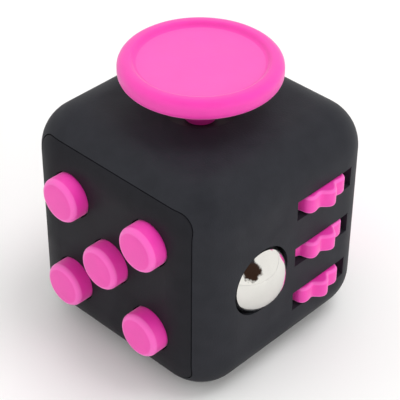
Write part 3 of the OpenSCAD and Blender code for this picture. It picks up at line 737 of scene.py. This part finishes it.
class FIDGET_OT_glide_pad(bpy.types.Operator):
    """Makes the glide pad: a dished disc with a soft rim on its stem"""

    bl_idname = "fidget.glide_pad"
    bl_label = "Glide pad"

    neck_rounding = 0.5 * MM  # where the stem meets the disc

    def execute(self, context):
        sizes = context.scene.fidget_pad
        low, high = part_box("glide_pad")
        rim = (high.x - low.x) / 2
        stem = sizes.stem_diameter / 2
        under = high.z - sizes.thickness
        dish = sizes.dish_diameter / 2
        floor = high.z - sizes.dish_depth
        bm = turned([
            (0, low.z, 0), (stem, low.z, 0), (stem, under, self.neck_rounding),
            (rim, under, sizes.under_rounding), (rim, high.z, sizes.rim_rounding),
            (dish, high.z, sizes.lip_rounding), (dish - sizes.dish_slope, floor, sizes.lip_rounding),
            (0, floor, 0)], steps=160)
        # painted sheen: the dish's floor is marked so that it is painted paler, standing in for light on its
        # up-facing surface
        highlight_paint = bm.verts.layers.float.new(HIGHLIGHT_ATTRIBUTE)
        for vert in bm.verts:
            if abs(vert.co.z - floor) < NEAR and vert.co.xy.length < dish:
                vert[highlight_paint] = sizes.painted_sheen
        finish_piece(
            "glide_pad_disc", bm, "glide_thumb_pad", ["glide_pad"],
            finish_for("accent_plastic"), sharp=40)
        return {"FINISHED"}


class FIDGET_OT_cog_wheels(bpy.types.Operator):
    """Makes the three cog wheels, each turned as far as its CAD wheel is"""

    bl_idname = "fidget.cog_wheels"
    bl_label = "Cog wheels"

    turns = {"upper_wheel": 1, "middle_wheel": 8, "lower_wheel": -2}  # degrees
    crest_width = 0.75  # below 1, the crests are broader than the valleys
    steps_per_cog = 18

    def execute(self, context):
        sizes = context.scene.fidget_wheels
        radius = sizes.diameter / 2
        thickness = extent("middle_wheel").z
        material = finish_for("accent_plastic")
        for wheel, body in WHEELS.items():
            bm = bmesh.new()
            # painted highlight: the rims' roundings are marked so that their colour is painted paler, standing in
            # for light on the cogs' edges
            bm.verts.layers.float.new(HIGHLIGHT_ATTRIBUTE)
            rim = bmesh.ops.create_circle(
                bm, segments=self.steps_per_cog * sizes.cogs, radius=radius)["verts"]
            turn = math.radians(self.turns[wheel])
            for vert in rim:
                angle = math.atan2(vert.co.y, vert.co.x) - turn
                wave = (1 + math.cos(sizes.cogs * angle)) / 2
                vert.co *= 1 - (1 - wave ** self.crest_width) * sizes.cog_depth / radius
            bmesh.ops.create_circle(bm, segments=48, radius=sizes.axle_hole / 2)
            bmesh.ops.bridge_loops(bm, edges=bm.edges)
            up = bmesh.ops.extrude_face_region(bm, geom=bm.faces[:] + bm.edges[:])["geom"]
            raised = [g for g in up if isinstance(g, bmesh.types.BMVert)]
            bmesh.ops.translate(bm, vec=(0, 0, thickness), verts=raised)
            bmesh.ops.recalc_face_normals(bm, faces=bm.faces)
            outside = radius - 1.5 * sizes.cog_depth
            rims = [
                e for e in bm.edges
                if abs(e.verts[0].co.z - e.verts[1].co.z) < 0.1 * MM
                and all(v.co.xy.length > outside for v in e.verts)]
            bevel_edges(bm, rims, sizes.rim_rounding, 5)
            hub = joint_place(f"spin_{wheel}")
            bm = moved(bm, Matrix.Translation(hub - Vector((0, 0, thickness / 2))))
            finish_piece(f"{wheel}_cogs", bm, body, [wheel], material, sharp=50)
        return {"FINISHED"}


class FIDGET_OT_steel_ball(bpy.types.Operator):
    """Makes the polished steel ball"""

    bl_idname = "fidget.steel_ball"
    bl_label = "Steel ball"

    def execute(self, context):
        ball = ball_solid(extent("steel_ball").x / 2, steps=128)
        bm = moved(ball, Matrix.Translation(middle("steel_ball")))
        finish_piece(
            "steel_ball_polished", bm, "rolling_ball", ["steel_ball"],
            finish_for("ball_steel"), sharp=180)
        return {"FINISHED"}


class FIDGET_OT_flip_rocker(bpy.types.Operator):
    """Makes the flip rocker: a ball-sided paddle with a shallow valley, a tail and a pin hole"""

    bl_idname = "fidget.flip_rocker"
    bl_label = "Flip rocker"

    tail_root = 0.5 * MM  # how far the tail starts inside the paddle

    def execute(self, context):
        sizes = context.scene.fidget_switches
        radius = extent("flip_rocker").y / 2
        pivot = joint_place("flip_rocker_over")
        reach = -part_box("flip_rocker")[0].x + pivot.x
        end = math.asin(reach / radius) - sizes.rocker_lean
        edge = Vector((radius * math.cos(end), radius * math.sin(end)))
        slope = math.atan2(edge.y - sizes.rocker_middle, edge.x)
        big = 4 * radius
        changes = [("DIFFERENCE", box_solid((-big, -big, -big), (big, big, -sizes.rocker_back)))]
        # one block above each wing, tilted so that the two meet in the valley
        lift = Matrix.Translation((0, 0, sizes.rocker_middle))
        for low, high, tilt in ((0, big, slope), (-big, 0, -slope)):
            wing = box_solid((-big, low, 0), (big, high, big))
            changes.append(("DIFFERENCE", moved(wing, lift @ Matrix.Rotation(tilt, 4, "X"))))
        tail = sizes.tail_diameter / 2
        side = sizes.tail_width / 2
        across = Matrix.Rotation(math.radians(90), 4, "Y")
        stalk = box_solid(
            (-side, -tail, -sizes.tail_length), (side, tail, -sizes.rocker_back + self.tail_root))
        knob = rod_solid(tail, -side, side, steps=32)
        changes.append(("UNION", stalk))
        changes.append(("UNION", moved(knob, Matrix.Translation((0, 0, -sizes.tail_length)) @ across)))
        changes.append(("DIFFERENCE", moved(rod_solid(sizes.pin_hole / 2, -big, big, steps=48), across)))
        bm = combined(ball_solid(radius), changes)
        lean = Matrix.Rotation(sizes.rocker_lean, 4, "X")
        bm = moved(bm, Matrix.Translation(pivot) @ LEFT @ lean)
        finish_piece(
            "flip_rocker_paddle", bm, "flip_switch", ["flip_rocker"],
            finish_for("accent_plastic"), softness=sizes.rocker_rounding)
        return {"FINISHED"}


class FIDGET_OT_spin_dial(bpy.types.Operator):
    """Makes the spin dial with its fingertip hollow and its hub"""

    bl_idname = "fidget.spin_dial"
    bl_label = "Spin dial"

    under_gap = 0.1 * MM  # between the disc and the rear cover
    under_rounding = 0.2 * MM
    hollow_place = 0.52  # the fingertip hollow's distance from the middle, in dial radii
    hollow_rounding = 0.12 * MM

    def execute(self, context):
        sizes = context.scene.fidget_switches
        low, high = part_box("spin_dial")
        rim = (high.x - low.x) / 2
        under = HALF + self.under_gap
        disc = turned([
            (0, low.y, 0), (sizes.dial_hub / 2, low.y, 0), (sizes.dial_hub / 2, under, 0),
            (rim, under, self.under_rounding), (rim, high.y, sizes.dial_rounding),
            (0, high.y, 0)], steps=128)
        tip = sizes.fingertip_diameter / 2
        hollow = ball_solid(tip, (0, rim * self.hollow_place, high.y + tip - sizes.fingertip_depth))
        bm = moved(combined(disc, [("DIFFERENCE", hollow)]), place(BACK))
        finish_piece(
            "spin_dial_disc", bm, "dial", ["spin_dial"],
            finish_for("accent_plastic"), softness=self.hollow_rounding)
        return {"FINISHED"}


class FIDGET_OT_inner_works(bpy.types.Operator):
    """Gives every CAD piece that stays in view its finish"""

    bl_idname = "fidget.inner_works"
    bl_label = "Inner works"

    def execute(self, context):
        slots = {part["node"]: part["material_slot"] for part in frame["record"]["subparts"]}
        for node, obj in frame["nodes"].items():
            material = finish_for(slots[node])
            obj.data.materials.clear()
            obj.data.materials.append(material)
        return {"FINISHED"}


# ---- the stage ----

def floor_material(tint):
    """A matte floor with a trace of unevenness, clear from below and a little darker in mirrors."""
    material, tree, shader, vector = new_material("Pale floor")
    patches = noise(tree, vector, 3.0)
    uneven = mixed_colour(tree, patches.outputs["Fac"], [c * 0.99 for c in tint], tint, shader)
    rays = tree.nodes.new("ShaderNodeLightPath")
    mirrored = ramp(tree, rays.outputs["Is Glossy Ray"], 0, 1, 0, FLOOR_DIMMING)
    mixed_colour(tree, mirrored, uneven, (0.1, 0.1, 0.1), shader)
    shader.inputs["Roughness"].default_value = 0.9
    clear = tree.nodes.new("ShaderNodeBsdfTransparent")
    side = tree.nodes.new("ShaderNodeMixShader")
    tree.links.new(tree.nodes.new("ShaderNodeNewGeometry").outputs["Backfacing"], side.inputs["Fac"])
    tree.links.new(shader.outputs["BSDF"], side.inputs[1])
    tree.links.new(clear.outputs["BSDF"], side.inputs[2])
    tree.links.new(side.outputs["Shader"], tree.nodes["Material Output"].inputs["Surface"])
    return material


def softbox(name, place_at, width, power):
    """A round, soft area light that faces the middle of the case and shows in no mirror."""
    light = bpy.data.lights.new(name, "AREA")
    light.shape = "DISK"
    light.size = width
    light.energy = power
    obj = bpy.data.objects.new(name, light)
    obj.location = place_at
    obj.rotation_mode = "QUATERNION"
    obj.rotation_quaternion = (CENTRE - Vector(place_at)).to_track_quat("-Z", "Y")
    obj.visible_glossy = False
    bpy.context.scene.collection.objects.link(obj)


class FIDGET_OT_stage(bpy.types.Operator):
    """Makes the pale floor, the soft lights, the surroundings and the camera"""

    bl_idname = "fidget.stage"
    bl_label = "Stage"

    def execute(self, context):
        scene = context.scene
        stage = scene.fidget_stage
        self.make_camera(scene, stage)
        self.make_floor(stage)
        self.make_lights(scene)
        self.make_surroundings(scene)
        return {"FINISHED"}

    def make_camera(self, scene, stage):
        """The camera, at the real view's angle, distance and lens."""
        level = math.cos(stage.elevation)
        back = Vector((
            math.sin(stage.azimuth) * level, -math.cos(stage.azimuth) * level, math.sin(stage.elevation)))
        right = Vector((math.cos(stage.azimuth), math.sin(stage.azimuth), 0))
        roll = Matrix.Rotation(stage.roll, 3, back)
        right = roll @ right
        up = back.cross(right)
        target = CENTRE + right * stage.target_right + up * stage.target_up
        camera = bpy.data.cameras.new("Camera")
        camera.sensor_width = 36.0
        camera.lens = stage.lens
        camera.clip_start = 1 * MM
        obj = bpy.data.objects.new("Camera", camera)
        turn = Matrix((right, up, back)).transposed().to_4x4()
        obj.matrix_world = Matrix.Translation(target + back * stage.distance) @ turn
        scene.collection.objects.link(obj)
        scene.camera = obj

    def make_floor(self, stage):
        """A plain pale floor under the cube."""
        bm = bmesh.new()
        bmesh.ops.create_grid(bm, x_segments=1, y_segments=1, size=stage.floor_size / 2)
        bmesh.ops.translate(bm, vec=(0, 0, -FLOOR_GAP), verts=bm.verts)
        floor = mesh_object("Floor", bm)
        floor.data.materials.append(floor_material(stage.floor))

    def make_lights(self, scene):
        """Three soft lights: a strong one above and behind, and a weak one on each side."""
        softbox("Top light", (0.18, 0.16, 0.66), width=0.35, power=1.38)
        softbox("Left light", (-0.45, -0.45, 0.30), width=0.40, power=0.2)
        softbox("Right light", (0.60, -0.05, 0.25), width=0.40, power=0.5)
        scene.view_settings.view_transform = "Standard"

    def make_surroundings(self, scene):
        """A pale tent with two ragged, dark openings that only reflections show."""
        world = bpy.data.worlds.new("Surroundings")
        world.use_nodes = True
        tree = world.node_tree
        direction = tree.nodes.new("ShaderNodeTexCoord").outputs["Generated"]
        ragged = noise(tree, direction, 4.0, detail=4.0)
        seen = (0.86, 0.855, 0.84)
        background = tree.nodes["Background"]
        mirrored = tree.nodes.new("ShaderNodeLightPath").outputs["Is Glossy Ray"]
        # each opening: its direction, where its ragged edge starts and ends, and its colour
        for aim, low, high, tint in (
                ((0.27, -0.36, 0.89), 0.975, 1.015, (0.03, 0.03, 0.035)),
                ((0.74, -0.36, 0.56), 0.99, 1.04, (0.035, 0.018, 0.012))):
            towards = tree.nodes.new("ShaderNodeVectorMath")
            towards.operation = "DOT_PRODUCT"
            towards.inputs[1].default_value = Vector(aim).normalized()
            tree.links.new(direction, towards.inputs[0])
            edge = tree.nodes.new("ShaderNodeMath")
            edge.operation = "MULTIPLY_ADD"
            edge.inputs[1].default_value = RAGGEDNESS
            tree.links.new(ragged.outputs["Fac"], edge.inputs[0])
            tree.links.new(towards.outputs["Value"], edge.inputs[2])
            opening = tree.nodes.new("ShaderNodeMath")
            opening.operation = "MULTIPLY"
            tree.links.new(ramp(tree, edge.outputs["Value"], low, high), opening.inputs[0])
            tree.links.new(mirrored, opening.inputs[1])
            seen = mixed_colour(tree, opening.outputs["Value"], seen, tint, background)
        scene.world = world


OPERATORS = [
    FIDGET_OT_body_sleeve, FIDGET_OT_covers, FIDGET_OT_click_buttons, FIDGET_OT_glide_pad,
    FIDGET_OT_cog_wheels, FIDGET_OT_steel_ball, FIDGET_OT_flip_rocker, FIDGET_OT_spin_dial,
    FIDGET_OT_inner_works, FIDGET_OT_stage,
]


class FIDGET_PT_panel(bpy.types.Panel):
    """Lists the operators in the order that they run."""

    bl_label = "Fidget cube"
    bl_idname = "FIDGET_PT_panel"
    bl_space_type = "VIEW_3D"
    bl_region_type = "UI"
    bl_category = "Fidget cube"

    def draw(self, context):
        for name in SETTINGS:
            box = self.layout.box()
            settings = getattr(context.scene, name)
            for key in settings.__annotations__:
                box.prop(settings, key)
        for operator in OPERATORS:
            self.layout.operator(operator.bl_idname)


def register():
    """Registers the settings, the operators and the panel."""
    for name, group in SETTINGS.items():
        bpy.utils.register_class(group)
        setattr(bpy.types.Scene, name, bpy.props.PointerProperty(type=group))
    for operator in OPERATORS:
        bpy.utils.register_class(operator)
    bpy.utils.register_class(FIDGET_PT_panel)


def unregister():
    """Takes the panel, the operators and the settings away again."""
    bpy.utils.unregister_class(FIDGET_PT_panel)
    for operator in reversed(OPERATORS):
        bpy.utils.unregister_class(operator)
    for name, group in reversed(SETTINGS.items()):
        delattr(bpy.types.Scene, name)
        bpy.utils.unregister_class(group)


def main():
    """Makes every piece and the stage."""
    register()
    bpy.ops.fidget.stage()
    bpy.ops.fidget.body_sleeve()
    bpy.ops.fidget.covers()
    bpy.ops.fidget.click_buttons()
    bpy.ops.fidget.glide_pad()
    bpy.ops.fidget.cog_wheels()
    bpy.ops.fidget.steel_ball()
    bpy.ops.fidget.flip_rocker()
    bpy.ops.fidget.spin_dial()
    bpy.ops.fidget.inner_works()


if __name__ == "__main__":
    main()
